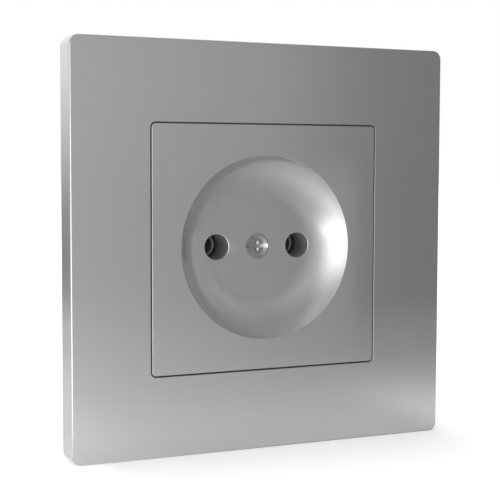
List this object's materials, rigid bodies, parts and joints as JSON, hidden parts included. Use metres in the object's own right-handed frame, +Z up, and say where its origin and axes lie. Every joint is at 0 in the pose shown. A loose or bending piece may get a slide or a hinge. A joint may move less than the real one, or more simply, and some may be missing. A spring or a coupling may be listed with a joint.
{
  "type": "ungrounded wall socket",
  "caption": "Square flush-mounted wall socket with a round dished recess and round pin holes, held in a wall box by its support plate or spreader claws.",
  "frame": {"origin": "on the socket's axis, in the plane of the wall, midway between the two box screws", "axes": "+Z up the wall, +Y into the wall, +X to the right of a person who faces the socket"},
  "size_m": [0.0858, 0.0308, 0.0858],
  "materials": {
    "frame_lacquer": "satin aluminium-look lacquer",
    "screw_steel": "bright zinc plate",
    "zinc_steel": "dull zinc plate",
    "base_plastic": "moulded thermoplastic",
    "lid_plastic": "moulded thermoplastic",
    "contact_brass": "nickel-plated stamped brass",
    "spring_steel": "plain spring steel"
  },
  "bodies": {
    "socket": {"decor_frame": "frame_lacquer", "socket_cover": "frame_lacquer", "cover_screw": "screw_steel", "cover_nut": "zinc_steel", "support_plate": "zinc_steel", "socket_base": "base_plastic", "contact_retainer": "lid_plastic", "contact_left": "contact_brass", "contact_spring_left": "spring_steel", "terminal_block_left": "contact_brass", "terminal_screw_left": "screw_steel", "contact_right": "contact_brass", "contact_spring_right": "spring_steel", "terminal_block_right": "contact_brass", "terminal_screw_right": "screw_steel"},
    "left_screw": {"claw_screw_left": "screw_steel"},
    "left_nut": {"claw_nut_left": "zinc_steel"},
    "left_claw": {"claw_left": "zinc_steel"},
    "right_screw": {"claw_screw_right": "screw_steel"},
    "right_nut": {"claw_nut_right": "zinc_steel"},
    "right_claw": {"claw_right": "zinc_steel"}
  },
  "joints": [
    {"name": "left_screw_turn", "type": "hinge", "parent": "socket", "child": "left_screw", "pos_m": [-0.0245, 0, 0], "axis": [0, 1, 0], "range_deg": [0, 2806]},
    {"name": "left_nut_slide", "type": "slide", "parent": "socket", "child": "left_nut", "axis": [0, -1, 0], "range_m": [0, 0.00468]},
    {"name": "left_claw_slide", "type": "slide", "parent": "socket", "child": "left_claw", "axis": [-0.5, -0.866, 0], "range_m": [0, 0.0054]},
    {"name": "right_screw_turn", "type": "hinge", "parent": "socket", "child": "right_screw", "pos_m": [0.0245, 0, 0], "axis": [0, 1, 0], "range_deg": [0, 2806]},
    {"name": "right_nut_slide", "type": "slide", "parent": "socket", "child": "right_nut", "axis": [0, -1, 0], "range_m": [0, 0.00468]},
    {"name": "right_claw_slide", "type": "slide", "parent": "socket", "child": "right_claw", "axis": [0.5, -0.866, 0], "range_m": [0, 0.0054]}
  ],
  "couplings": [
    {"joint": "left_nut_slide", "follows": "left_claw_slide", "ratio": 0.86603},
    {"joint": "left_screw_turn", "follows": "left_claw_slide", "rad_per_m": 9069},
    {"joint": "right_nut_slide", "follows": "right_claw_slide", "ratio": 0.86603},
    {"joint": "right_screw_turn", "follows": "right_claw_slide", "rad_per_m": 9069}
  ]
}
